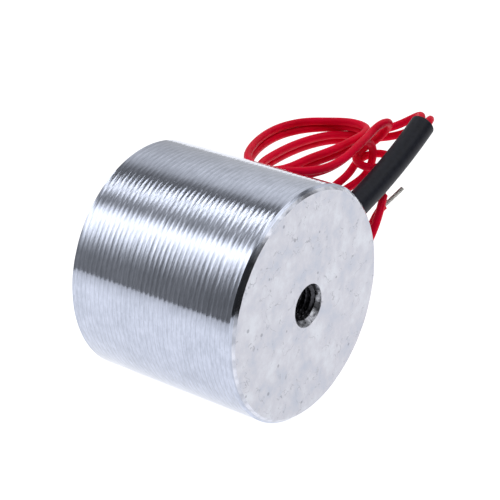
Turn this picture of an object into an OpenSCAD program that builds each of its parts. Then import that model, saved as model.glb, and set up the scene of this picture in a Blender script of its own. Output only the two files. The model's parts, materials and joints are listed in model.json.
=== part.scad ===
// Round holding electromagnet with two flying leads, lying on its side.
// Millimetres. X runs along the magnet: the mounting face looks along +X at x = 0,
// and the pole face looks along -X. +Y is the side where the leads come out, +Z is up.
// The origin is the middle of the mounting thread's mouth.

/* [Steel pot] */
// Outside diameter of the pot
body_d = 30; // [28:0.5:36]
// Length from mounting face to pole face
body_l = 25; // [23:0.5:36]
// Thickness of the pot's round wall
wall_t = 2.2; // [1.6:0.1:3]
// Thickness of the end behind the mounting face
back_t = 3.6; // [2.4:0.1:5]
// Diameter of the core in the middle of the pot
core_d = 12; // [10:0.5:14]
// Chamfer round the mounting face
mount_chamfer = 0.6; // [0.2:0.1:1.2]
// Chamfer round the pole face
pole_chamfer = 0.3; // [0.1:0.1:0.8]

/* [Mounting thread] */
// Nominal diameter of the thread
thread_d = 5; // [4:1:6]
// Pitch of the thread, which sets the tapping drill
thread_pitch = 0.8; // [0.5:0.1:1]
// Depth of the tapping drill's full diameter
drill_depth = 9; // [6:0.5:12]
// Point angle of the drill
drill_point = 118; // [90:1:140]
// How much wider than the thread the countersink is at the mouth
countersink_over = 0.6; // [0.2:0.1:2]

/* [Coil] */
// Gap all round between the bobbin and the steel
bobbin_gap = 0.15; // [0.05:0.05:0.3]
// Wall of the bobbin's tube
bobbin_t = 0.85; // [0.5:0.05:1.2]
// Thickness of each bobbin flange
flange_t = 1; // [0.6:0.1:1.6]
// How far the flanges stand above the winding
flange_rim = 1.1; // [0.6:0.1:1.6]
// Thickness of the tape over the winding
tape_t = 0.2; // [0.05:0.05:0.4]
// Diameter of the winding wire where its two ends come out
wire_d = 0.35; // [0.2:0.05:0.5]
// Depth of the resin over the coil at the pole face
cap_t = 1.8; // [1:0.1:3]
// How far the resin stays below the pole face
resin_recess = 0.2; // [0:0.05:0.5]

/* [Lead exit] */
// Steel left between the lead hole and the pot's end plate
exit_gap = 0.15; // [0.05:0.05:1]
// Angle of the lead hole above the horizontal
exit_angle = 17; // [10:1:24]
// Wall of the shrink sleeve
sleeve_t = 0.5; // [0.3:0.05:0.6]
// Gap between the leads and the inside of the sleeve
sleeve_gap = 0.05; // [0.02:0.01:0.1]
// How far the sleeve reaches inside the pot's wall
sleeve_in = 0.8; // [0.3:0.1:1.2]
// Gap between the sleeve and its hole
hole_gap = 0.05; // [0.02:0.01:0.1]
// Straight length of sleeve outside the pot
sleeve_straight = 6; // [2:0.5:10]
// Radius of the sleeve's upward bend
sleeve_bend_r = 72; // [40:1:100]
// Angle of the sleeve's upward bend
sleeve_bend = 12; // [4:1:20]

/* [Leads] */
// Diameter over a lead's insulation
lead_d = 1.1; // [0.9:0.05:1.2]
// Gap between the two leads in the sleeve
lead_gap = 0.1; // [0.04:0.02:0.2]
// Diameter of a lead's bare conductor
strand_d = 0.6; // [0.3:0.05:0.7]
// Length of conductor that is stripped at the free end
strip_l = 3.5; // [3:0.5:8]
// How much thinner than its lead a solder joint is
joint_slim = 0.2; // [0.1:0.05:0.4]
// How far the solder runs past the lead's middle and past the winding wire
joint_lap = 0.6; // [0.4:0.05:0.7]
// How far a lead reaches into its joint
joint_bite = 0.25; // [0.1:0.05:0.3]
// Gap between the core and the solder joints
joint_off_core = 1.5; // [0.5:0.1:2.5]

/* [Hank of leads] */
// Thickness of the band of turns
hank_t = 3; // [2.2:0.1:3]
// Tilt of the band, its right side up
hank_tilt = 10; // [6:1:12]
// Radius of the neck that one lead is wound round
neck_r = 2.9; // [2.6:0.1:2.9]
// Height of the wound neck below the middle of the band
neck_h = 3.2; // [3:0.1:3.3]

/* [Hidden] */
$fn = 96;

// Cutting tools reach past the faces they cut by this much.
cut = 1;

// Radii, from the axis outwards.
drill_r = (thread_d - thread_pitch) / 2;
countersink_d = thread_d + countersink_over;
core_r = core_d / 2;
tube_r = core_r + bobbin_gap;
wound_r = tube_r + bobbin_t;
bore_r = body_d / 2 - wall_t;
flange_r = bore_r - bobbin_gap;
tape_r = flange_r - flange_rim;
coil_r = tape_r - tape_t;

// Places along the axis, as distances from the mounting face.
countersink_h = countersink_d / 2 - drill_r;
drill_point_h = drill_r / tan(drill_point / 2);
lead_pitch = lead_d + lead_gap;
sleeve_bore = lead_pitch + lead_d + 2 * sleeve_gap;
sleeve_d = sleeve_bore + 2 * sleeve_t;
hole_r = sleeve_d / 2 + hole_gap;
exit_x = back_t + exit_gap + hole_r;
bobbin_from = exit_x + hole_r + bobbin_gap;
bobbin_to = body_l - resin_recess - cap_t;
coil_from = bobbin_from + flange_t;
coil_to = bobbin_to - flange_t;

// Distances from the axis along the lead hole.
joint_d = lead_d - joint_slim;
joint_r = core_r + joint_off_core + joint_d / 2;
lead_from = joint_r + joint_d / 2 - joint_bite;
sleeve_from = bore_r - sleeve_in;
bend_from = body_d / 2 + sleeve_straight;

// Each winding end comes out of the bobbin beside its lead, one on either side.
tail_gap = 0.1;
tail_off = lead_d / 2 + wire_d / 2 + tail_gap;
joint_l = tail_off + 2 * joint_lap;
lead_sides = [-1, 1];

// The middle of the sleeve's mouth, and the direction that the leads leave it in.
mouth_angle = exit_angle + sleeve_bend;
mouth_dir = [0, cos(mouth_angle), sin(mouth_angle)];
// How far a lead goes straight on from the mouth before it folds back.
mouth_stub = 0.4;
bend_centre = [0, bend_from * cos(exit_angle), bend_from * sin(exit_angle)]
    + sleeve_bend_r * [0, -sin(exit_angle), cos(exit_angle)];
mouth = [-exit_x, 0, 0] + bend_centre + sleeve_bend_r * [0, sin(mouth_angle), -cos(mouth_angle)];

// Routes of the leads' free stretches, chosen by eye. Each run starts at the sleeve's
// mouth and ends at the hank. Each tail leaves the hank's neck, dips to the surface
// that the magnet lies on, and comes up again under the sleeve.
route_run_a = [
    [-6.4, 35.1, 12.4], [-7.1, 36.2, 12.4], [-8, 36.8, 11.9], [-9.5, 36.8, 10.9],
    [-11.3, 35.8, 9.8], [-13.3, 34.5, 9.2]
];
route_run_b = [
    [-5.1, 35, 12.4], [-5.6, 36.1, 12.2], [-6.3, 37, 11.5], [-7.8, 37.4, 10.4],
    [-9.8, 37, 9], [-12.2, 35.8, 8.1], [-14.2, 34.5, 7.9]
];
route_tail_a = [
    [-12.45, 27.4, 5.8], [-12.6, 26.4, 5.15], [-13.2, 25.3, 4.4], [-14.4, 24.1, 3],
    [-16.9, 22.9, 0.2], [-19, 22.4, -4.8], [-19.8, 23.2, -9.8], [-18.4, 25.2, -13.4],
    [-15.6, 26.8, -14.45], [-12.6, 27, -14.1], [-10.4, 25.6, -12.4], [-9.2, 23.8, -9],
    [-8, 22.6, -5.2], [-6.9, 22.3, -2], [-6.3, 22.7, 0], [-6.2, 23.6, 1.3], [-6.3, 24.5, 2],
    [-6.3, 25.2, 2.4], [-6, 25.8, 2.8]
];
route_tail_b = [
    [-10.7, 29.3, 6], [-10.9, 28.2, 5], [-11.5, 26.6, 4.2], [-12.3, 25, 3.5],
    [-13.6, 23.2, 2.2], [-15.4, 21.8, -0.4], [-17.2, 21, -4.6], [-17.9, 21.8, -9.6],
    [-16.6, 23.6, -13.2], [-14, 24.8, -14.45], [-11.4, 24.6, -14.1], [-9.4, 22.8, -12.4],
    [-8.2, 21.3, -9], [-7, 20.6, -5.4], [-5.9, 20.6, -2.4], [-5.2, 21.3, -0.2],
    [-5, 22.3, 1.6], [-5.1, 23.2, 2.9], [-5.4, 24.2, 3.8], [-5.8, 25.2, 4.5]
];

// The hank's band of turns, seen from above: three round corners, at the pot, at the
// far side and at the neck, and the slot that the turns leave open. Each is [x, y, radius]
// from the middle of the band.
hank_mid = [-16.5, 22.6, 9.8];
hank_corners = [[1, -2.8, 7], [-2, 4.8, 6.3], [4.2, 6.8, 3.8]];
hank_slot = [[-0.5, -4.2, 2], [0.7, 4.6, 3.1]];
neck_at = [6.1, 6.8];

// Tubes that follow a route.
tube_sides = 8;
function unit(v) = v / norm(v);
function heading(p, i) = unit(p[min(i + 1, len(p) - 1)] - p[max(i - 1, 0)]);
// A side direction for each point, carried along so that the tube doesn't twist.
function carried(p, side, i = 0) =
    i == len(p) ? [] :
    let (t = heading(p, i), s = unit(side - (side * t) * t))
    concat([s], carried(p, s, i + 1));
function ring(c, t, s, r) = [
    for (k = [0 : tube_sides - 1])
    let (a = 360 * (k + 0.5) / tube_sides)
    c + r * (cos(a) * s + sin(a) * cross(t, s))
];
function tube_points(p, d) =
    let (s = carried(p, [1, 0, 0]))
    [for (i = [0 : len(p) - 1]) each ring(p[i], heading(p, i), s[i], d / 2)];
function tube_faces(n) = concat(
    [[for (k = [0 : tube_sides - 1]) k]],
    [
        for (i = [0 : n - 2], k = [0 : tube_sides - 1])
        let (a = i * tube_sides + k, b = i * tube_sides + (k + 1) % tube_sides)
        each [[a, a + tube_sides, b + tube_sides], [a, b + tube_sides, b]]
    ],
    [[for (k = [0 : tube_sides - 1]) n * tube_sides - 1 - k]]
);
function run_route(side, route) =
    let (start = mouth + [side * lead_pitch / 2, 0, 0])
    concat([start, start + mouth_stub * mouth_dir], route);

module tube(p, d) {
    polyhedron(points = tube_points(p, d), faces = tube_faces(len(p)));
}

// A solid of revolution about the magnet's axis, from an outline of
// [radius, distance from the mounting face] points.
module turned(outline) {
    rotate([0, 90, 0])
    rotate_extrude()
    polygon([for (p = outline) [p[0], -p[1]]]);
}

// Local Z points out along the lead hole, local X along the magnet.
module at_exit() {
    translate([-exit_x, 0, 0])
    rotate([exit_angle - 90, 0, 0])
    children();
}

// A straight stretch along the lead hole that goes on into the sleeve's bend.
module along_sleeve(from) {
    at_exit() {
        translate([0, 0, from])
        linear_extrude(bend_from - from)
        children();
        translate([0, -sleeve_bend_r, bend_from])
        rotate([90, 0, 90])
        rotate_extrude(angle = sleeve_bend)
        translate([sleeve_bend_r, 0])
        rotate(90)
        children();
    }
}

// A cylinder that carries straight on from the last two points of a route.
module straight_on(p, d, l) {
    t = heading(p, len(p) - 1);
    translate(p[len(p) - 1])
    rotate([0, acos(t[2]), atan2(t[1], t[0])])
    cylinder(d = d, h = l);
}

module pot_body() {
    color("silver")
    difference() {
        turned([
            [0, drill_depth + drill_point_h], [drill_r, drill_depth],
            [drill_r, countersink_h], [countersink_d / 2, 0],
            [body_d / 2 - mount_chamfer, 0], [body_d / 2, mount_chamfer],
            [body_d / 2, body_l - pole_chamfer], [body_d / 2 - pole_chamfer, body_l],
            [bore_r, body_l], [bore_r, back_t], [core_r, back_t], [core_r, body_l], [0, body_l]
        ]);
        at_exit()
        translate([0, 0, (core_r + bore_r) / 2])
        cylinder(r = hole_r, h = body_d / 2);
    }
}

// The hole in the bobbin's flange for one end of the winding, and that end itself.
module winding_end(side, d, from, to) {
    rotate([exit_angle, 0, 0])
    translate([-to, joint_r, -side * tail_off])
    rotate([0, 90, 0])
    cylinder(d = d, h = to - from);
}

module coil_bobbin() {
    color("ivory")
    difference() {
        turned([
            [tube_r, bobbin_from], [flange_r, bobbin_from], [flange_r, coil_from],
            [wound_r, coil_from], [wound_r, coil_to], [flange_r, coil_to],
            [flange_r, bobbin_to], [tube_r, bobbin_to]
        ]);
        for (side = lead_sides)
            winding_end(side, wire_d + 2 * tail_gap, bobbin_from - cut, coil_from + cut);
    }
}

module coil_winding() {
    color("peru") {
        turned([[wound_r, coil_from], [coil_r, coil_from], [coil_r, coil_to], [wound_r, coil_to]]);
        for (side = lead_sides)
            winding_end(side, wire_d, exit_x - side * lead_pitch / 2, coil_from + cut);
    }
}

module coil_tape() {
    color("goldenrod")
    turned([[coil_r, coil_from], [tape_r, coil_from], [tape_r, coil_to], [coil_r, coil_to]]);
}

// The solder runs across the lead hole's line, from the lead to the winding's end.
module joint_solder(side) {
    at_exit()
    translate([side * lead_pitch / 2, side * tail_off / 2, joint_r])
    rotate([90, 0, 0])
    cylinder(d = joint_d, h = joint_l, center = true);
}

module lead_joint(side) {
    color("gainsboro")
    difference() {
        joint_solder(side);
        lead_held(side);
        winding_end(side, wire_d, exit_x - side * lead_pitch / 2, coil_from);
    }
}

module lead_joint_a() {
    lead_joint(lead_sides[0]);
}

module lead_joint_b() {
    lead_joint(lead_sides[1]);
}

// Resin fills the pot round the coil, from the end plate to the pole face.
module potting_resin() {
    color("darkslategray")
    difference() {
        turned([
            [core_r, back_t], [bore_r, back_t],
            [bore_r, body_l - resin_recess], [core_r, body_l - resin_recess]
        ]);
        turned([
            [0, bobbin_from], [flange_r, bobbin_from], [flange_r, coil_from],
            [tape_r, coil_from], [tape_r, coil_to], [flange_r, coil_to],
            [flange_r, bobbin_to], [0, bobbin_to]
        ]);
        for (side = lead_sides) {
            joint_solder(side);
            lead_held(side);
            winding_end(side, wire_d, exit_x - side * lead_pitch / 2, bobbin_from + cut);
        }
        at_exit()
        translate([0, 0, sleeve_from])
        cylinder(d = sleeve_d, h = body_d / 2);
    }
}

module lead_sleeve() {
    color("dimgray")
    along_sleeve(sleeve_from)
    difference() {
        circle(d = sleeve_d);
        circle(d = sleeve_bore);
    }
}

module lead_held(side) {
    along_sleeve(lead_from)
    translate([side * lead_pitch / 2, 0])
    circle(d = lead_d);
}

module lead_inner_a() {
    color("crimson")
    lead_held(lead_sides[0]);
}

module lead_inner_b() {
    color("crimson")
    lead_held(lead_sides[1]);
}

module lead_run_a() {
    color("crimson")
    tube(run_route(lead_sides[0], route_run_a), lead_d);
}

module lead_run_b() {
    color("crimson")
    tube(run_route(lead_sides[1], route_run_b), lead_d);
}

module round_hull(corners) {
    hull()
    for (c = corners)
        translate([c[0], c[1]])
        circle(c[2], $fn = 48);
}

module lead_hank() {
    color("firebrick")
    translate(hank_mid) {
        rotate([0, -hank_tilt, 0])
        linear_extrude(hank_t, center = true)
        difference() {
            round_hull(hank_corners);
            round_hull(hank_slot);
        }
        translate([neck_at[0], neck_at[1], -neck_h])
        cylinder(r = neck_r, h = neck_h);
    }
}

module lead_tail_a() {
    color("crimson")
    tube(route_tail_a, lead_d);
}

module lead_tail_b() {
    color("crimson")
    tube(route_tail_b, lead_d);
}

module lead_tip_a() {
    color("lightgray")
    straight_on(route_tail_a, strand_d, strip_l);
}

module lead_tip_b() {
    color("lightgray")
    straight_on(route_tail_b, strand_d, strip_l);
}

pot_body();
coil_bobbin();
coil_winding();
coil_tape();
potting_resin();
lead_joint_a();
lead_joint_b();
lead_sleeve();
lead_inner_a();
lead_inner_b();
lead_run_a();
lead_run_b();
lead_hank();
lead_tail_a();
lead_tail_b();
lead_tip_a();
lead_tip_b();
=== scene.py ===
# %% [markdown]
# # A holding electromagnet with two flying leads
# The part is a turned steel pot that lies on its side, with a coil potted inside it.
# Two red leads come out of its round wall in a black sleeve and are tied up in a hank.
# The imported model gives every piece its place, so this lesson only dresses it: what shows
# is rebuilt finely on the same sizes, and what is right already gets a better finish.

import json
import math

import bmesh
import bpy
import numpy as np
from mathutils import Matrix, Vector


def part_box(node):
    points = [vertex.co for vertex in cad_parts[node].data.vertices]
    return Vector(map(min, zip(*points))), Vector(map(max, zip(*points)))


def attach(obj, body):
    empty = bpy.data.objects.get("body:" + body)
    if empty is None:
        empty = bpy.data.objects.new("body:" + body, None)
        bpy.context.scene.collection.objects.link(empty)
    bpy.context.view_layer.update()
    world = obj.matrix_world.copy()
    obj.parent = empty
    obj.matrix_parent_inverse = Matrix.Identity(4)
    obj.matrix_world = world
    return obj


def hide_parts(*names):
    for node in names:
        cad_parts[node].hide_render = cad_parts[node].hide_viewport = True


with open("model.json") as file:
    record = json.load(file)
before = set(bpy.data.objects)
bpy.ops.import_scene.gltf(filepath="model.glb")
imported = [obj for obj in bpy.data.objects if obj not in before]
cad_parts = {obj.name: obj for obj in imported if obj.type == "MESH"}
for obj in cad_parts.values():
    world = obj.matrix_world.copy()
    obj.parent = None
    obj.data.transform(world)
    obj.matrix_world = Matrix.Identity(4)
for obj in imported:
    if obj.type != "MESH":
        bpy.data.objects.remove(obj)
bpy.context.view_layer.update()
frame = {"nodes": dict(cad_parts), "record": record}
nodes = frame["nodes"]
MM = 0.001

# %% [markdown]
# ## Sizes
# A replacement has to keep the form of the solid that it stands for. So the main sizes are
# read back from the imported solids, and only what those don't show is given a number here.

# %% Read the sizes back from the frame
pot_low, pot_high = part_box("pot_body")
bore_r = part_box("potting_resin")[1].z
thread = {m["name"]: m for m in frame["record"]["mounts"]}["mounting_thread"]["dims"]

mount_x = pot_high.x
pole_x = pot_low.x
pot_r = pot_high.z
floor_z = pot_low.z
tapping_r = thread["r_mm"] * MM
print("pot", round(2 * pot_r / MM, 2), "mm across,", round((mount_x - pole_x) / MM, 2), "mm long")

# %% [markdown]
# ## Camera
# A long lens from a little above keeps the round faces from bulging. The camera is placed by
# the angles that it looks from, and aimed beside the middle of the pot, because the leads
# take up the upper right of the picture. The aim keeps the sensor's middle, with no shift.

# %% Camera
view_azimuth = math.radians(37.35)
view_elevation = math.radians(24.79)
view_distance = 196.84 * MM
aim_right = 2.88 * MM
aim_up = 3.54 * MM
near_clip = 10 * MM
lens_mm = 113.6
sensor_mm = 36

back = Vector((
    math.sin(view_azimuth) * math.cos(view_elevation),
    -math.cos(view_azimuth) * math.cos(view_elevation),
    math.sin(view_elevation),
))
right = Vector((math.cos(view_azimuth), math.sin(view_azimuth), 0))
up = back.cross(right)
aim = Vector(((mount_x + pole_x) / 2, 0, 0)) + aim_right * right + aim_up * up

camera_data = bpy.data.cameras.new("camera")
camera_data.lens = lens_mm
camera_data.sensor_width = sensor_mm
camera_data.clip_start = near_clip
camera = bpy.data.objects.new("camera", camera_data)
camera.location = aim + view_distance * back
camera.rotation_euler = (-back).to_track_quat("-Z", "Y").to_euler()
bpy.context.scene.collection.objects.link(camera)
bpy.context.scene.camera = camera
print("camera at", [round(v / MM, 1) for v in camera.location], "mm")

# %% [markdown]
# ## Leads
# Each lead is one length of thin PVC wire. It leaves the sleeve, folds back at once and makes
# two turns of the hank, first an inner one and then an outer one. Lead A then hooks over the
# top and is wound round lead B, which drops straight through, and that holds the hank
# together. Both dip behind the pot and come up again with their stripped ends.
# A tied hank isn't a neat coil: its turns lie as they fell. So their points are listed one by one
# as well, and only the winding round the neck, which is regular, is worked out.

# %% Routes of the leads, in millimetres
lead_d = 1.1
lead_pitch = 1.2
mouth = np.array([-5.5, 33.94, 12.02])
mouth_rise = math.radians(29)
mouth_stub = 0.4

run_a = [
    (-6.4, 35.1, 12.4), (-7.1, 36.2, 12.4), (-8, 36.8, 11.9), (-9.5, 36.8, 10.9),
    (-11.3, 35.8, 9.8), (-13.3, 34.5, 9.2),
]
run_b = [
    (-5.1, 35, 12.4), (-5.6, 36.1, 12.2), (-6.3, 37, 11.5), (-7.8, 37.4, 10.4),
    (-9.8, 37, 9), (-12.2, 35.8, 8.1), (-14.2, 34.5, 7.9),
]
inner_turn = [
    (-15.6, 33.2, 8.4), (-18.2, 31.5, 8.4), (-19.7, 28.3, 8.4), (-20.3, 24.8, 8.4),
    (-20.3, 20.8, 8.4), (-20, 17.6, 8.35), (-19.1, 15.5, 8.45), (-17.2, 14.7, 8.65),
    (-15.3, 15.4, 9), (-14.4, 17.2, 9.35), (-13.9, 19.2, 9.65), (-13.2, 20.8, 9.9),
    (-12.4, 22.4, 10.2), (-11.9, 24.2, 10.45), (-11.7, 26.4, 10.6), (-11.7, 28.6, 10.65),
]
inner_drop = (-0.4, 0.7, -1.1)
outer_turn_a = [
    (-12.3, 30.8, 10.65), (-14, 32.2, 10.5), (-16.4, 32.4, 10.4), (-19.3, 31.5, 10.1),
    (-22.2, 29.8, 9.9), (-23.8, 26.8, 9.7), (-23.9, 23.2, 9.6), (-23, 19.2, 9.45),
    (-20.9, 15.2, 9.4), (-17.1, 12.8, 9.5), (-12.9, 14.4, 9.7), (-10.6, 15.7, 9.9),
    (-9.3, 17.6, 10.2), (-8.8, 20.3, 10.7), (-9.1, 23.9, 11.25),
]
outer_turn_b = [
    (-12.6, 31.2, 9.45), (-14.2, 32.75, 9.5), (-16.4, 33, 9.48), (-19.3, 32, 9.05),
    (-22.2, 29.9, 8.75), (-23.7, 26.8, 8.55), (-23.8, 23.2, 8.45), (-22.9, 19.3, 8.3),
    (-21, 15.7, 8.25), (-17.2, 13.4, 8.35), (-13.4, 14.9, 8.7), (-11.3, 16.3, 9.15),
    (-10.1, 18, 9.5), (-9.6, 20.4, 9.95), (-9.85, 23.9, 10.4),
]
hook_a = [
    (-9.7, 27.3, 11.55), (-10, 29.4, 11.95), (-9.95, 31.3, 12.1), (-10.2, 33, 11.55),
    (-11.05, 34.05, 10.25), (-12.1, 33.65, 8.8), (-12.75, 32.2, 7.95), (-12.85, 30.7, 7.8),
]
drop_b = [(-10.3, 26.2, 10.65), (-10.6, 27.9, 10.4), (-10.6, 29.3, 9.5), (-10.6, 29.9, 7.8)]
tail_a = [
    (-12.45, 27.4, 5.8), (-12.6, 26.4, 5.15), (-13.2, 25.3, 4.4), (-14.4, 24.1, 3),
    (-16.9, 22.9, 0.2), (-19, 22.4, -4.8), (-19.8, 23.2, -9.8), (-18.4, 25.2, -13.4),
    (-15.6, 26.8, -14.45), (-12.6, 27, -14.1), (-10.4, 25.6, -12.4), (-9.2, 23.8, -9),
    (-8, 22.6, -5.2), (-6.9, 22.3, -2), (-6.3, 22.7, 0), (-6.2, 23.6, 1.3), (-6.3, 24.5, 2),
    (-6.3, 25.2, 2.4), (-6, 25.8, 2.8),
]
tail_b = [
    (-10.7, 29.3, 6), (-10.9, 28.2, 5), (-11.5, 26.6, 4.2), (-12.3, 25, 3.5),
    (-13.6, 23.2, 2.2), (-15.4, 21.8, -0.4), (-17.2, 21, -4.6), (-17.9, 21.8, -9.6),
    (-16.6, 23.6, -13.2), (-14, 24.8, -14.45), (-11.4, 24.6, -14.1), (-9.4, 22.8, -12.4),
    (-8.2, 21.3, -9), (-7, 20.6, -5.4), (-5.9, 20.6, -2.4), (-5.2, 21.3, -0.2),
    (-5, 22.3, 1.6), (-5.1, 23.2, 2.9), (-5.4, 24.2, 3.8), (-5.8, 25.2, 4.5),
]
print("lead A dips in", len(tail_a), "points and lead B in", len(tail_b))

# %% [markdown]
# The points are joined in the order in which the wire passes them. The winding is a helix:
# its height falls by one pitch for each full turn, and a small tilt lets it lie askew.

# %% Joined routes
neck = {"centre": (-10.3, 29.4, 7.8), "radius": 2.48, "pitch": 1.28, "tilt": 0.5}
neck_from, neck_to, neck_step = 185, 546, 40


def from_mouth(side):
    """The first points of a lead, which goes straight on for a little way."""
    start = mouth + np.array([side * lead_pitch / 2, 0, 0])
    straight = mouth_stub * np.array([0, math.cos(mouth_rise), math.sin(mouth_rise)])
    return [tuple(start), tuple(start + straight)]


def wound(centre, radius, pitch, tilt):
    """The lead that is wound round the hank's neck, as a helix that goes down."""
    return [
        (
            centre[0] + radius * math.cos(math.radians(a)),
            centre[1] + radius * math.sin(math.radians(a)),
            centre[2] - pitch * (a - neck_from) / 360 + tilt * math.sin(math.radians(a)),
        )
        for a in range(neck_from, neck_to, neck_step)
    ]


route_a = (
    from_mouth(-1) + run_a + inner_turn + outer_turn_a + hook_a + wound(**neck) + tail_a
)
lower_turn = [tuple(np.array(p) + inner_drop) for p in inner_turn]
route_b = from_mouth(1) + run_b + lower_turn + outer_turn_b + drop_b + tail_b
print("routes of", len(route_a), "and", len(route_b), "points")

# %% [markdown]
# A wire passes through chosen points with even bends, not with corners. A curve through the
# points (centripetal Catmull-Rom, which doesn't overshoot where the points lie unevenly) is
# cut into short even steps, and each step is then eased towards its neighbours, as the
# wire's own stiffness would do it.

# %% From points to a wire
wire_step = 0.3
ease_passes = 16
ease_share = 0.5


def evenly(line, step=wire_step):
    """The same line with its points spread evenly along it."""
    along = np.concatenate([[0], np.cumsum(np.linalg.norm(np.diff(line, axis=0), axis=1))])
    at = np.linspace(0, along[-1], round(along[-1] / step) + 1)
    return np.stack([np.interp(at, along, line[:, k]) for k in range(3)], axis=1)


def through(points, cuts=10):
    """A smooth line through all the points, with a few cuts between each two."""
    points = np.array(points, float)
    ends = np.vstack([2 * points[0] - points[1], points, 2 * points[-1] - points[-2]])
    line = []
    for a, b, c, d in zip(ends, ends[1:], ends[2:], ends[3:]):
        before, here, after = (np.linalg.norm(v) ** 0.5 for v in (b - a, c - b, d - c))
        leave = here * ((b - a) / before - (c - a) / (before + here) + (c - b) / here)
        arrive = here * ((c - b) / here - (d - b) / (here + after) + (d - c) / after)
        for u in np.linspace(0, 1, cuts, endpoint=False):
            line.append(
                (2 * u**3 - 3 * u**2 + 1) * b + (u**3 - 2 * u**2 + u) * leave
                + (3 * u**2 - 2 * u**3) * c + (u**3 - u**2) * arrive
            )
    return np.array(line + [points[-1]])


def wire(points):
    """The line eased as a wire would lie. Its first and last two points stay in place."""
    line = evenly(through(points))
    for _ in range(ease_passes):
        line[2:-2] += ease_share * ((line[1:-3] + line[3:-1]) / 2 - line[2:-2])
    return evenly(line)


def length_of(line):
    return float(np.linalg.norm(np.diff(line, axis=0), axis=1).sum())


line_a = wire(route_a)
line_b = wire(route_b)
print("leads", round(length_of(line_a), 1), "and", round(length_of(line_b), 1), "mm long")

# %% [markdown]
# A curve object with a round bevel makes a wire of such a line. The bevel is set to one metre
# and each point's radius brings it down to the wire's. Blender counts a point's radius when
# it works out a curve's box, so a radius of one would make that box far too large.


# %% Lead curves
def wire_curve(name, roundness):
    """An empty curve whose points' radii are the wire's."""
    data = bpy.data.curves.new(name, "CURVE")
    data.dimensions = "3D"
    data.bevel_depth = 1.0
    data.bevel_resolution = roundness
    data.use_fill_caps = True
    return data


def add_strand(data, line, radius):
    """Adds one wire to a curve, from points in millimetres."""
    spline = data.splines.new("POLY")
    spline.points.add(len(line) - 1)
    for point, p in zip(spline.points, line):
        point.co = (*(p * MM), 1)
        point.radius = radius * MM
    spline.use_smooth = True


def place_in_scene(name, data):
    piece = bpy.data.objects.new(name, data)
    bpy.context.scene.collection.objects.link(piece)
    return piece


def lead_curve(name, line):
    data = wire_curve(name, roundness=5)
    add_strand(data, line, lead_d / 2)
    return place_in_scene(name, data)


lead_a = lead_curve("red_lead_a", line_a)
lead_b = lead_curve("red_lead_b", line_b)
for piece, line, own in (
    (lead_a, line_a, ["lead_run_a", "lead_tail_a", "lead_hank"]),
    (lead_b, line_b, ["lead_run_b", "lead_tail_b"]),
):
    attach(piece, "root")
    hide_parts(*own)
    print(piece.name, len(line), "points")

# %% [markdown]
# ## Sleeve
# The leads come out of the wall through a shrunk-on sleeve. Its middle line is the same as
# the solid's: straight out of the hole, then a gentle arc upwards. A ring of points is carried
# along that line, out over the sleeve, round its soft lip, and back inside.

# %% Line of the sleeve
exit_x = -5.5 * MM
exit_rise = math.radians(17)
sleeve_r = 1.7 * MM
sleeve_bore_r = 1.2 * MM
sleeve_from = 12.2 * MM
bend_from = 21 * MM
bend_radius = 72 * MM
bend_angle = mouth_rise - exit_rise
lip = 0.16 * MM
outside_rings = 60
inside_rings = 30


def sleeve_line(along):
    """A point of the sleeve's middle line, and the way the line goes there."""
    turned = max(0.0, along - bend_from) / bend_radius
    out = float(min(along, bend_from)) + bend_radius * math.sin(turned)
    rise = bend_radius * (1 - math.cos(turned))
    go = Vector((0, math.cos(exit_rise), math.sin(exit_rise)))
    lift = Vector((0, -math.sin(exit_rise), math.cos(exit_rise)))
    at = Vector((exit_x, 0, 0)) + out * go + rise * lift
    return at, math.cos(turned) * go + math.sin(turned) * lift


def sleeve_rings():
    """Each ring's place along the line, and its radius."""
    mouth_at = bend_from + bend_radius * bend_angle
    lip_at = mouth_at - lip
    rings = [(along, sleeve_r) for along in np.linspace(sleeve_from, lip_at, outside_rings)]
    for step in np.radians([22.5, 45, 67.5, 90]):
        rings.append((lip_at + lip * math.sin(step), sleeve_r - lip + lip * math.cos(step)))
    inner_lip = sleeve_bore_r + lip
    for step in np.radians([0, 22.5, 45, 67.5, 90]):
        rings.append((lip_at + lip * math.cos(step), inner_lip - lip * math.sin(step)))
    inside = np.linspace(mouth_at - 2 * lip, sleeve_from, inside_rings)
    return rings + [(along, sleeve_bore_r) for along in inside]


print("sleeve of", len(sleeve_rings()), "rings")

# %% [markdown]
# The last ring is joined to the first, so the sleeve is one closed tube with a wall. Blender
# can turn all its faces outwards afterwards, which saves thinking about the order of points.


# %% Sleeve
def shade_smooth(mesh):
    mesh.polygons.foreach_set("use_smooth", [True] * len(mesh.polygons))


def sweep(name, rings, sides=40):
    """Carries the rings along the sleeve's line and joins them into a closed mesh."""
    points, faces = [], []
    for along, radius in rings:
        at, go = sleeve_line(along)
        across = Vector((1, 0, 0))
        over = go.cross(across)
        for k in range(sides):
            turn = 2 * math.pi * k / sides
            points.append(at + radius * (math.cos(turn) * across + math.sin(turn) * over))
    count = len(rings)
    for i in range(count):
        for k in range(sides):
            a, b = i * sides, (i + 1) % count * sides
            faces.append((a + k, a + (k + 1) % sides, b + (k + 1) % sides, b + k))
    mesh = bpy.data.meshes.new(name)
    mesh.from_pydata(points, [], faces)
    work = bmesh.new()
    work.from_mesh(mesh)
    bmesh.ops.recalc_face_normals(work, faces=work.faces)
    work.to_mesh(mesh)
    work.free()
    shade_smooth(mesh)
    return place_in_scene(name, mesh)


black_sleeve = sweep("black_sleeve", sleeve_rings())
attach(black_sleeve, "root")
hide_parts("lead_sleeve")
print("black_sleeve", len(black_sleeve.data.polygons), "faces")

# %% [markdown]
# ## Bare ends
# A stripped end shows the conductor: seven fine strands, six of them laid round one. They are
# laid as helices on the line of the lead's last stretch, and they open a little towards their
# cut ends.

# %% Bare ends
strip_l = 3.5
strand_r = 0.094
lay_length = 4.6
fray_from = 2.2
fray = 0.012
strand_points = 28


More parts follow.
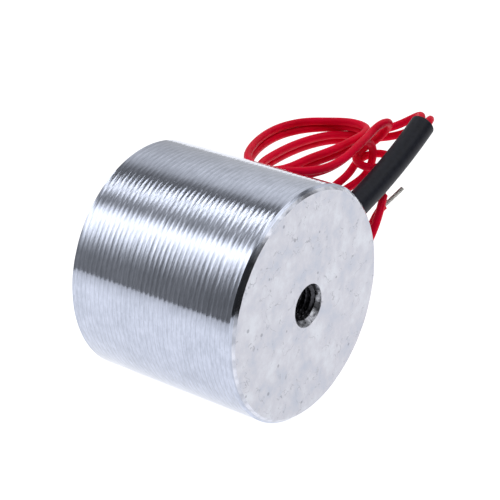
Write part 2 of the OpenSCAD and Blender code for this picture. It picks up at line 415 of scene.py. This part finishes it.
def bare_end(name, line, side_strands=6):
    end = line[-1]
    go = (line[-1] - line[-3]) / np.linalg.norm(line[-1] - line[-3])
    across = np.cross(go, (0, 0, 1))
    across /= np.linalg.norm(across)
    over = np.cross(go, across)
    data = wire_curve(name, roundness=2)
    for k in range(side_strands + 1):
        strand = []
        for along in np.linspace(0, strip_l, strand_points):
            turn = 2 * math.pi * (along / lay_length + k / side_strands)
            open_by = 2 * strand_r + fray * max(0, along - fray_from)
            if k == side_strands:
                open_by = 0
            aside = math.cos(turn) * across + math.sin(turn) * over
            strand.append(end + along * go + open_by * aside)
        add_strand(data, strand, strand_r)
    return place_in_scene(name, data)


bare_end_a = bare_end("bare_end_a", line_a)
bare_end_b = bare_end("bare_end_b", line_b)
for piece, own in ((bare_end_a, "lead_tip_a"), (bare_end_b, "lead_tip_b")):
    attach(piece, "root")
    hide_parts(own)
    print(piece.name, len(piece.data.splines), "strands")

# %% [markdown]
# Each lead's real length is printed. The pieces that belong to it are listed beside it, but
# nothing uses that list.

# %% Cords
for piece, line, on_it in (
    (lead_a, line_a, [bare_end_a, black_sleeve, "lead_inner_a"]),
    (lead_b, line_b, [bare_end_b, "lead_inner_b"]),
):
    print(piece.name, "is a cord of", round(length_of(line)), "mm")

# %% [markdown]
# ## The steel pot
# The pot is turned from bar: a wall, an end plate and a core in one piece. Every face of it
# is round, so one outline is carried round the axis. A plain lathe (a Spin or Screw
# modifier) would give smooth faces, but the real side has the lathe's feed marks, and the
# mounting hole has a thread. Both are helices. So each row of the mesh is allowed to climb as
# it goes round, and a row that would climb past the end of its stretch is stopped there.

# %% Sizes of the pot that the solids don't give
pot = {
    "mount_chamfer": 0.6 * MM,
    "pole_chamfer": 0.3 * MM,
    "end_plate": 3.6 * MM,
    "core_r": 6 * MM,
    "countersink_r": 2.8 * MM,
    "drill_depth": 9 * MM,
    "drill_point": 1.26 * MM,
}
thread_pitch = 0.8 * MM
thread_depth = 0.4 * MM
feed_pitch = 0.715 * MM
feed_depth = 0.0075 * MM
columns = 240
angles = np.linspace(0, 2 * math.pi, columns + 1)
chance = np.random.default_rng(7)
print("feed marks", round(feed_pitch / MM, 3), "mm apart, each in", columns, "columns")

# %% [markdown]
# A row is one trip round the axis: a place along x and a radius for each column. Its last
# column lies on its first, so that a climbing row can end one pitch further on.


# %% Rows that climb
def ring(x, r):
    """One row of the mesh: a circle, or a wavy one where r is an array."""
    wide = columns + 1
    return np.full(wide, float(x)), np.broadcast_to(np.asarray(r, float), wide).copy()


def helical(x_from, x_to, pitch, radius_at, rows_per_turn):
    """Rows that climb one pitch a turn between two ends, with their radius from a function."""
    towards = 1 if x_to > x_from else -1
    reach = abs(x_to - x_from) + pitch
    rows = []
    for k in range(int(math.ceil(reach / pitch * rows_per_turn)) + 1):
        run = k * pitch / rows_per_turn - pitch * angles / (2 * math.pi)
        x = x_from + towards * np.clip(run, 0, abs(x_to - x_from))
        rows.append((x, radius_at(x, angles)))
    return rows


print("a plain ring has", len(ring(mount_x, pot_r)[0]), "points")

# %% [markdown]
# Two functions give a row its radius: one for the feed marks, whose depth changes a little
# from turn to turn, and one for the thread. A third dents an edge at chance places.

# %% Feed marks, thread and dents
turn_depths = feed_depth * chance.uniform(0.5, 1.4, 64)
crest_flat = 0.2
flank_span = 0.6
nicks = 30
widest_nick = 6


def feed_marks(x, angle):
    """The side's radius: each turn of the tool leaves a shallow round groove."""
    place = (mount_x - x) / feed_pitch + angle / (2 * math.pi)
    across = 2 * (place % 1) - 1
    depth = turn_depths[np.floor(place).astype(int) % len(turn_depths)]
    return pot_r - depth * (1 - across**2)


def thread_wall(x, angle):
    """The hole's radius: a sixty degree thread with flats at its crest and root."""
    place = ((mount_x - x) / thread_pitch + angle / (2 * math.pi)) % 1
    flank = np.clip((np.abs(2 * place - 1) - crest_flat) / flank_span, 0, 1)
    return tapping_r + thread_depth * flank


def nicked(radius, size):
    """An edge that has been knocked: small dents at chance places."""
    dents = np.zeros(columns)
    places = chance.integers(0, columns, nicks)
    widths = chance.integers(1, widest_nick, nicks)
    depths = chance.uniform(0.1, 1, nicks)
    for at, wide, deep in zip(places, widths, depths):
        for j in range(-wide, wide + 1):
            place = (at + j) % columns
            dents[place] = max(dents[place], deep * (1 - abs(j) / (wide + 1)))
    dents = size * dents
    return radius - np.append(dents, dents[0])


print("side cut in", math.ceil((mount_x - pole_x) / feed_pitch), "turns of the tool")

# %% [markdown]
# The outline goes from the bottom of the drilled hole over the thread, the mounting face and
# the side to the pole face, then inside, and ends in the middle of the core. It is kept in
# named stretches, because each stretch gets its own finish.

# %% Rows of the turned outline
tip_r = 0.01 * MM
countersink_break = 0.05 * MM
face_nick = 0.06 * MM
pole_nick = 0.05 * MM
face_rings = 12
thread_rows = 10
feed_rows = 8


def pot_rows():
    hole_start = mount_x - (pot["countersink_r"] - tapping_r)
    drill_end = mount_x - pot["drill_depth"]
    back_wall = mount_x - pot["end_plate"]
    sink_r, core_r, chamfer = pot["countersink_r"], pot["core_r"], pot["mount_chamfer"]
    face_edge = pot_r - chamfer
    pole_edge = pot_r - pot["pole_chamfer"]
    side_end = pole_x + pot["pole_chamfer"]

    rows = {"bore": [ring(drill_end - pot["drill_point"], tip_r), ring(drill_end, tapping_r)]}
    rows["bore"] += helical(
        drill_end + thread_pitch, hole_start, thread_pitch, thread_wall, thread_rows
    )
    rows["countersink"] = [ring(mount_x - countersink_break, sink_r - countersink_break)]
    rows["face"] = [ring(mount_x, sink_r)]
    rows["face"] += [ring(mount_x, r) for r in np.linspace(sink_r, face_edge, face_rings)[1:-1]]
    rows["face"] += [ring(mount_x, nicked(face_edge, face_nick))]
    rows["chamfer"] = [ring(mount_x - 0.5 * chamfer, pot_r - 0.5 * chamfer)]
    rows["side"] = helical(mount_x - chamfer, side_end, feed_pitch, feed_marks, feed_rows)
    rows["pole"] = [ring(pole_x, nicked(pole_edge, pole_nick)), ring(pole_x, bore_r)]
    rows["inside"] = [ring(back_wall, bore_r), ring(back_wall, core_r), ring(pole_x, core_r)]
    rows["core"] = [ring(pole_x, core_r * share) for share in (0.75, 0.5, 0.25)]
    rows["core"] += [ring(pole_x, tip_r)]
    return rows


outline = pot_rows()
print("outline of", sum(len(some) for some in outline.values()), "rows")

# %% [markdown]
# Each row is joined to the one before it. Points that fall together, at the seam and where a
# climbing row was stopped, are merged, and the two tiny holes on the axis are filled. Edges
# with a clear angle stay sharp and all others are shaded smooth.

# %% The pot's mesh
finish_order = ["turned_side", "faced_end", "recess_painted_shade", "knocked_edge", "countersink"]
finish_of = {
    "bore": "recess_painted_shade", "countersink": "countersink", "face": "faced_end",
    "chamfer": "knocked_edge", "side": "turned_side", "pole": "faced_end",
    "inside": "recess_painted_shade", "core": "faced_end",
}
same_point = 0.001 * MM
sharp_from = math.radians(24)


def lathe(name, rows):
    """Joins the rows into one closed mesh, and gives each stretch its finish."""
    points, faces, finish = [], [], []
    below = None
    for stretch, some in rows.items():
        for x, r in some:
            start = len(points)
            points += list(zip(x, r * np.cos(angles), r * np.sin(angles)))
            if below is not None:
                for j in range(columns):
                    faces.append((below + j, below + j + 1, start + j + 1, start + j))
                    finish.append(finish_order.index(finish_of[stretch]))
            below = start
    mesh = bpy.data.meshes.new(name)
    mesh.from_pydata(points, [], faces)
    mesh.polygons.foreach_set("material_index", finish)
    work = bmesh.new()
    work.from_mesh(mesh)
    bmesh.ops.remove_doubles(work, verts=work.verts, dist=same_point)
    ends = [e for e in work.edges if e.is_boundary]
    bmesh.ops.holes_fill(work, edges=ends, sides=columns)
    bmesh.ops.recalc_face_normals(work, faces=work.faces)
    work.to_mesh(mesh)
    work.free()
    shade_smooth(mesh)
    mesh.set_sharp_from_angle(angle=sharp_from)
    return place_in_scene(name, mesh)


steel_pot = lathe("steel_pot", outline)
print("steel_pot", len(steel_pot.data.polygons), "faces")

# %% [markdown]
# The hole for the leads is drilled through the wall after turning, so it is cut the same way
# here, with a Boolean modifier that is then applied.

# %% Lead hole
lead_hole_r = 1.75 * MM
drill_l = 6 * MM
drill_in = 1.1 * MM


def drill_lead_hole(piece):
    bpy.ops.mesh.primitive_cylinder_add(vertices=48, radius=lead_hole_r, depth=drill_l)
    drill = bpy.context.object
    out = Vector((0, math.cos(exit_rise), math.sin(exit_rise)))
    drill.rotation_euler = out.to_track_quat("Z", "Y").to_euler()
    drill.location = Vector((exit_x, 0, 0)) + (pot_r - drill_in) * out
    cut = piece.modifiers.new("lead_hole", "BOOLEAN")
    cut.operation = "DIFFERENCE"
    cut.solver = "EXACT"
    cut.object = drill
    bpy.context.view_layer.objects.active = piece
    bpy.ops.object.modifier_apply(modifier=cut.name)
    bpy.data.objects.remove(drill)


drill_lead_hole(steel_pot)
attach(steel_pot, "root")
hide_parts("pot_body")
print("steel_pot", len(steel_pot.data.polygons), "faces with its lead hole")

# %% [markdown]
# ## Finishes
# Each finish is a small node tree. One helper adds a node and sets its inputs, and a few
# short ones name the nodes that come up again and again, so that a tree reads from its
# textures to its shader.


# %% Node helpers
def material(name):
    made = bpy.data.materials.new(name)
    made.use_nodes = True
    return made, made.node_tree, made.node_tree.nodes["Principled BSDF"]


def add(tree, kind, inputs=None, **settings):
    """Adds a node, sets its settings, and gives each named input a value or a link."""
    made = tree.nodes.new(kind)
    for key, value in settings.items():
        setattr(made, key, value)
    for key, value in (inputs or {}).items():
        if isinstance(value, bpy.types.NodeSocket):
            tree.links.new(value, made.inputs[key])
        else:
            made.inputs[key].default_value = value
    return made


def maths(tree, operation, a, b=0.0):
    return add(tree, "ShaderNodeMath", {0: a, 1: b}, operation=operation).outputs[0]


def times(tree, a, b):
    return maths(tree, "MULTIPLY", a, b)


def spread(tree, value, taken, given):
    """Carries a value from one range to another, and stops it at the ends."""
    return add(tree, "ShaderNodeMapRange", {
        "Value": value,
        "From Min": taken[0], "From Max": taken[1], "To Min": given[0], "To Max": given[1],
    }).outputs[0]


def noise(tree, place, scale, detail, roughness=0.5, distortion=0.0):
    return add(tree, "ShaderNodeTexNoise", {
        "Vector": place, "Scale": scale, "Detail": detail,
        "Roughness": roughness, "Distortion": distortion,
    }).outputs["Fac"]


def ramp(tree, fac, stops):
    """A colour ramp from (place, colour) stops."""
    made = add(tree, "ShaderNodeValToRGB", {"Fac": fac})
    for _ in range(len(stops) - 2):
        made.color_ramp.elements.new(0.5)
    for element, (at, colour) in zip(made.color_ramp.elements, stops):
        element.position = at
        element.color = (*colour, 1)
    return made.outputs["Color"]


def blend(tree, share, a, b):
    """A mix of two colours."""
    return add(tree, "ShaderNodeMix", {0: share, 6: a, 7: b}, data_type="RGBA").outputs[2]


def scaled(tree, colour, share):
    made = add(tree, "ShaderNodeVectorMath", {0: colour, "Scale": share}, operation="SCALE")
    return made.outputs[0]


def own_place(tree):
    """A point of the piece in its own coordinates, which stay with it from any view."""
    return add(tree, "ShaderNodeTexCoord").outputs["Object"]


def dress(tree, shader, colour, rough, height, depth, strength=1.0):
    """Links a colour, a roughness and a bump of a depth in millimetres to the shader."""
    bump = add(tree, "ShaderNodeBump", {
        "Height": height, "Strength": strength, "Distance": depth * MM,
    })
    tree.links.new(colour, shader.inputs["Base Color"])
    tree.links.new(rough, shader.inputs["Roughness"])
    tree.links.new(bump.outputs[0], shader.inputs["Normal"])


print("node helpers ready")

# %% [markdown]
# The steel is zinc plated and bright, with a blue cast. What it mirrors does most of the
# work, so the turned side stays smooth. Fine lines run round the axis where the tool has cut:
# their noise is stretched along the angle, so it changes quickly along the pot and slowly
# round it. Where a line is rough it blurs what it mirrors, and where it is smooth it gives a
# thin sharp streak.

# %% Turned steel
lines_per_mm = 4.0
lines_round = 12.0
lines_share = 0.6
clouds_share = 0.4


def round_axis(tree):
    """A turned piece's coordinates: millimetres along and out from the axis, and the angle."""
    parts = add(tree, "ShaderNodeSeparateXYZ", {"Vector": own_place(tree)})
    x, y, z = (times(tree, parts.outputs[i], 1 / MM) for i in range(3))
    r = maths(tree, "SQRT", maths(tree, "ADD", times(tree, y, y), times(tree, z, z)))
    return x, r, maths(tree, "ARCTAN2", z, y)


def painted_groove_sheen(tree, x, angle, amount):
    """Painted sheen: a little lighter in each feed mark, darker at the crest between two."""
    round_share = maths(tree, "DIVIDE", angle, 2 * math.pi)
    turns = maths(tree, "SUBTRACT", round_share, times(tree, x, MM / feed_pitch))
    edge = maths(tree, "SUBTRACT", maths(tree, "FRACT", turns), 0.5)
    away = maths(tree, "ABSOLUTE", edge)
    return spread(tree, away, (0.32, 0.5), (1.0 + 0.4 * amount, 1.0 - amount))


def turned_steel(name, shades, rough, line_depth, crest=0.0):
    """shades and rough are pairs, from the lines' low side to their high side."""
    made, tree, shader = material(name)
    x, r, angle = round_axis(tree)
    swept = add(tree, "ShaderNodeCombineXYZ", {
        0: times(tree, x, lines_per_mm),
        1: times(tree, r, lines_per_mm),
        2: times(tree, angle, lines_round),
    }).outputs[0]
    lines = noise(tree, swept, 1.0, 4.0, 0.62)
    clouds = noise(tree, own_place(tree), 0.4 / MM, 5.0, 0.6)
    both = maths(
        tree, "ADD", times(tree, lines, lines_share), times(tree, clouds, clouds_share)
    )
    shade = ramp(tree, both, [(0.38, shades[0]), (0.62, shades[1])])
    # Painted sheen along the feed marks, for the light that the grooves mirror.
    if crest:
        shade = scaled(tree, shade, painted_groove_sheen(tree, x, angle, crest))
    dress(tree, shader, shade, spread(tree, lines, (0.3, 0.7), rough), lines, line_depth)
    shader.inputs["Metallic"].default_value = 1.0
    return made


steels = [
    turned_steel(
        "turned_side", [(0.43, 0.465, 0.555), (0.57, 0.61, 0.725)], (0.03, 0.12), 0.009, crest=0.09
    ),
    # Painted shade: the drilled hole and the pot's inside walls are painted nearly black for the
    # shade in them.
    turned_steel("recess_painted_shade", [(0.03, 0.03, 0.036), (0.08, 0.08, 0.09)], (0.3, 0.42), 0.003),
]
print("finishes", [made.name for made in steels])

# %% [markdown]
# The end faces are matt: a fine even grain, faint stains, a few specks and some scratches.
# Each cell of a Voronoi pattern has a chance colour, and only cells with a high one get a
# speck, so the specks are few and of different sizes. A scratch follows a line on which a
# noise has its middle value, and a second noise leaves only short pieces of that line.

# %% Faced steel
whole = (0.0, 1.0)
mark_colour = (0.12, 0.13, 0.16, 1)
speck_cells = 0.7 / MM
speck_luck = 0.9
speck_size = 2.6
speck_uneven = 0.12
scratch_width = 0.012


def specks(tree, place, grain):
    cells = add(tree, "ShaderNodeTexVoronoi", {
        "Vector": place, "Scale": speck_cells, "Randomness": 1.0,
    })
    luck = add(tree, "ShaderNodeSeparateColor", {"Color": cells.outputs["Color"]}).outputs[0]
    size = times(tree, maths(tree, "SUBTRACT", luck, speck_luck), speck_size)
    away = maths(tree, "ADD", cells.outputs["Distance"], times(tree, grain, speck_uneven))
    return spread(tree, maths(tree, "SUBTRACT", size, away), (0.0, 0.05), (0.0, 0.45))


def scratches(tree, place):
    swirl = noise(tree, place, 0.5 / MM, 5.0, distortion=0.6)
    off_line = maths(tree, "ABSOLUTE", maths(tree, "SUBTRACT", swirl, 0.5))
    scratch = spread(tree, off_line, (0.0, scratch_width), (0.55, 0.0))
    patch = noise(tree, place, 0.45 / MM, 2.0, distortion=1.0)
    return times(tree, scratch, spread(tree, patch, (0.5, 0.58), whole))


def faced_steel(name, shades, stain, rough, grain_depth):
    made, tree, shader = material(name)
    place = own_place(tree)
    grain = noise(tree, place, 4.0 / MM, 4.0, 0.7)
    clouds = noise(tree, place, 0.3 / MM, 6.0, 0.68)
    shade = ramp(tree, clouds, [(0.35, shades[0]), (0.5, stain), (0.65, shades[1])])
    marks = maths(tree, "MAXIMUM", specks(tree, place, grain), scratches(tree, place))
    marked = blend(tree, marks, shade, mark_colour)
    dress(tree, shader, marked, spread(tree, grain, whole, rough), grain, grain_depth)
    shader.inputs["Metallic"].default_value = 1.0
    return made


steels.append(faced_steel(
    "faced_end", [(0.505, 0.533, 0.61), (0.65, 0.67, 0.725)], (0.58, 0.585, 0.64),
    (0.3, 0.42), 0.006,
))
print("finish", steels[-1].name)

# %% [markdown]
# The edges have been knocked about, so they are patched light and dark. The countersink is
# darker as a whole, as painted shade at the mouth of the hole. The pot's five finishes are then
# put into the order that its faces were numbered in.


# %% Knocked edges
def knocked_steel(name, dark, light, rough, dent_depth, dents_per_mm, detail):
    made, tree, shader = material(name)
    dents = noise(tree, own_place(tree), dents_per_mm / MM, detail, 0.6)
    shade = ramp(tree, dents, [(0.4, dark), (0.6, light)])
    dress(tree, shader, shade, spread(tree, dents, whole, rough), dents, dent_depth)
    shader.inputs["Metallic"].default_value = 1.0
    return made


steels += [
    knocked_steel(
        "knocked_edge", (0.40, 0.42, 0.48), (0.68, 0.70, 0.78), (0.08, 0.2), 0.04, 0.4, 2.0
    ),
    # Painted shade: the countersink is darker overall for the shade at the mouth of the hole; its
    # patches are knocks.
    knocked_steel(
        "countersink", (0.10, 0.10, 0.115), (0.42, 0.43, 0.47), (0.2, 0.35), 0.03, 1.6, 4.0
    ),
]
by_name = {made.name: made for made in steels}
for name in finish_order:
    steel_pot.data.materials.append(by_name[name])
print("steel_pot has", len(steel_pot.data.materials), "finishes")

# %% [markdown]
# The leads' PVC is a strong red that lets very little else through. A slight grain keeps its
# highlights soft.

# %% Red PVC
red_dark = (0.68, 0.0008, 0.024)
red_light = (0.80, 0.0015, 0.036)
pvc_shine = 0.05


def red_pvc():
    made, tree, shader = material("red_pvc")
    place = own_place(tree)
    shade = ramp(tree, noise(tree, place, 0.4 / MM, 3.0), [(0.35, red_dark), (0.65, red_light)])
    fine = noise(tree, place, 6.0 / MM, 2.0)
    dress(tree, shader, shade, spread(tree, fine, whole, (0.3, 0.45)), fine, 0.02, strength=0.12)
    shader.inputs["Specular IOR Level"].default_value = pvc_shine
    return made


pvc = red_pvc()
lead_a.data.materials.append(pvc)
lead_b.data.materials.append(pvc)
print("finish", pvc.name)

# %% [markdown]
# The other pieces share one kind of finish, a cloudy colour with a cloudy shine. Most of them
# are inside the pot and show only in a cut model, but each one still looks like what it is
# made of.


# %% Other finishes
def plain(name, dark, light, rough, per_mm, metallic=0.0, depth=0.01, shine=0.5):
    made, tree, shader = material(name)
    cloud = noise(tree, own_place(tree), per_mm / MM, 4.0)
    shade = ramp(tree, cloud, [(0.3, dark), (0.7, light)])
    dress(tree, shader, shade, spread(tree, cloud, whole, rough), cloud, depth, strength=0.3)
    shader.inputs["Metallic"].default_value = metallic
    shader.inputs["Specular IOR Level"].default_value = shine
    return made


tinned = plain("tinned_copper", (0.4, 0.39, 0.37), (0.62, 0.61, 0.58), (0.25, 0.4), 3.0, 1.0)
for piece in (bare_end_a, bare_end_b):
    piece.data.materials.append(tinned)
black_sleeve.data.materials.append(plain(
    "shrink_sleeve", (0.011, 0.012, 0.018), (0.017, 0.019, 0.028), (0.4, 0.55), 1.5, shine=0.18
))
solder = plain("solder", (0.5, 0.5, 0.49), (0.65, 0.65, 0.63), (0.2, 0.4), 2.0, 1.0)
dressed = {
    "potting_resin": plain(
        "potting_resin", (0.008, 0.008, 0.009), (0.02, 0.02, 0.022), (0.25, 0.45), 0.6, depth=0.2
    ),
    "coil_bobbin": plain(
        "bobbin_nylon", (0.75, 0.72, 0.62), (0.82, 0.79, 0.7), (0.4, 0.6), 1.0
    ),
    "coil_winding": plain(
        "enamelled_copper", (0.4, 0.12, 0.04), (0.6, 0.22, 0.09), (0.2, 0.4), 1.0, 1.0
    ),
    "coil_tape": plain("coil_tape", (0.6, 0.42, 0.06), (0.72, 0.52, 0.1), (0.3, 0.5), 1.0),
    "lead_joint_a": solder,
    "lead_joint_b": solder,
    "lead_inner_a": pvc,
    "lead_inner_b": pvc,
}
for name, finish in dressed.items():
    nodes[name].data.materials.clear()
    nodes[name].data.materials.append(finish)
print("dressed", len(dressed), "carried over pieces")

# %% [markdown]
# ## Table
# The part lies on a white table that glows, so that only faint contact shadows are left. The
# table ends in front of the part, and the pot's side mirrors that edge as a line. The strip
# at the front glows less towards its edge, and only mirrors see it.

# %% Table
table_reach = 6.0
table_front = 0.16
table_near = 0.05
table_glow = 0.95
front_glow = 0.4


def flat_sheet(name, front, back_edge, height):
    """A flat sheet across the whole table, from one y to another."""
    mesh = bpy.data.meshes.new(name)
    mesh.from_pydata([
        (-table_reach, front, height), (table_reach, front, height),
        (table_reach, back_edge, height), (-table_reach, back_edge, height),
    ], [], [(0, 1, 2, 3)])
    sheet = place_in_scene(name, mesh)
    return sheet


def glowing(name, near, front):
    """A white sheet that glows, with one strength near the part and one at the front edge."""
    made, tree, shader = material(name)
    y = add(tree, "ShaderNodeSeparateXYZ", {"Vector": own_place(tree)}).outputs[1]
    glow = spread(tree, y, (-table_front, -table_near), (front, near))
    tree.links.new(glow, shader.inputs["Emission Strength"])
    shader.inputs["Emission Color"].default_value = (0.99, 0.99, 1, 1)
    shader.inputs["Base Color"].default_value = (0.25, 0.25, 0.255, 1)
    shader.inputs["Roughness"].default_value = 0.6
    return made


table = flat_sheet("table", -table_near, table_reach, floor_z)
table_edge = flat_sheet("table_edge", -table_front, -table_near, floor_z)
table.data.materials.append(glowing("light_table", table_glow, table_glow))
table_edge.data.materials.append(glowing("table_edge", table_glow, front_glow))
table_edge.visible_camera = False
print("table laid, with", round(table_front / MM), "mm in front of the pot's axis")

# %% [markdown]
# ## Light
# A turned side is a row of mirrors: each shows the studio from a different height. So the
# studio is painted as bands over the angle from the front, over the top, to the back: a dark
# room, a large soft light, a gap, a narrow light, a dark gap and a grey ceiling.
# The lights hang askew, so the bands lean, and they are a little uneven from left to right.
# Both bring out the lines that run round the pot, because the two flanks of a line mirror
# places a little to the left and right of each other. The far right has a dark wall with a
# light above it, for the edge of the mounting face. The camera itself sees plain white.

# %% Plan of the studio
brightest = 2.4
dark_room = [(0, 0.23), (14, 0.24), (22, 0.36)]
soft_light = [(29, 0.6), (34, 1.05), (43, 1.5), (48, 2.0), (54, 2.1), (58, 1.7)]
gap = [(65, 0.48), (69, 0.35), (75, 0.43), (79, 0.7)]
narrow_light = [(83, 1.7), (87, 2.4), (92, 2.2), (94, 0.9)]
dark_gap = [(96, 0.3), (99, 0.17), (109, 0.19)]
ceiling = [(120, 0.65), (130, 0.8), (155, 0.63), (170, 0.57)]
studio_bands = dark_room + soft_light + gap + narrow_light + dark_gap + ceiling
side_wall = [(0, 0.03), (0.5, 0.04), (0.6, 0.25), (0.7, 1.6), (0.86, 2.0), (1, 0.8)]
wall_from = (0.28, 0.42)

most_lean = 2.9
band_lean = [
    (0, 0.3), (16, 1.6), (36, 2.2), (56, 0.9), (64, 0.8), (84, 2.6), (98, 2.9), (116, 0.6),
    (180, 0.3),
]
upright_at = -0.6
uneven_over = (-0.64, -0.55)
low_uneven = (1.24, 0.82)
high_uneven = (0.84, 1.22)
high_from = (0.7, 1.1)
print("studio of", len(studio_bands), "stops, from front to back")

# %% [markdown]
# The World's coordinates give the direction that a ray goes in. Its angle over the pot's axis
# picks the band, and its x, along the axis, sets how far the band has leant there.


# %% Studio
def grey(value):
    return (value, value, value)


def banded(tree, x, over):
    """The bands that lean and are uneven from left to right."""
    half_turn = maths(tree, "DIVIDE", over, math.pi)
    askew = ramp(tree, half_turn, [(at / 180, grey(v / most_lean)) for at, v in band_lean])
    lean = times(tree, times(tree, askew, most_lean), maths(tree, "ADD", x, -upright_at))
    leant = maths(tree, "DIVIDE", maths(tree, "SUBTRACT", over, lean), math.pi)
    bands = ramp(tree, leant, [(at / 180, grey(v / brightest)) for at, v in studio_bands])
    high = spread(tree, over, high_from, whole)
    low_share = spread(tree, x, uneven_over, low_uneven)
    high_share = spread(tree, x, uneven_over, high_uneven)
    share = add(tree, "ShaderNodeMix", {0: high, 2: low_share, 3: high_share}).outputs[0]
    return scaled(tree, bands, share)


def studio():
    world = bpy.data.worlds.new("studio")
    world.use_nodes = True
    tree = world.node_tree
    ray = add(tree, "ShaderNodeTexCoord").outputs["Generated"]
    way = add(tree, "ShaderNodeSeparateXYZ", {"Vector": ray})
    x, y, z = (way.outputs[i] for i in range(3))
    bands = banded(tree, x, maths(tree, "ARCTAN2", z, times(tree, y, -1.0)))
    wall = ramp(tree, z, [(at, grey(v / brightest)) for at, v in side_wall])
    room = blend(tree, spread(tree, x, wall_from, whole), bands, wall)
    seen = add(tree, "ShaderNodeLightPath").outputs["Is Camera Ray"]
    sky = tree.nodes["Background"]
    tree.links.new(blend(tree, seen, room, (0.5, 0.5, 0.5, 1)), sky.inputs["Color"])
    sky.inputs["Strength"].default_value = brightest
    return world


bpy.context.scene.world = studio()
bpy.context.scene.view_settings.view_transform = "Standard"
print("studio lit, brightest", brightest)
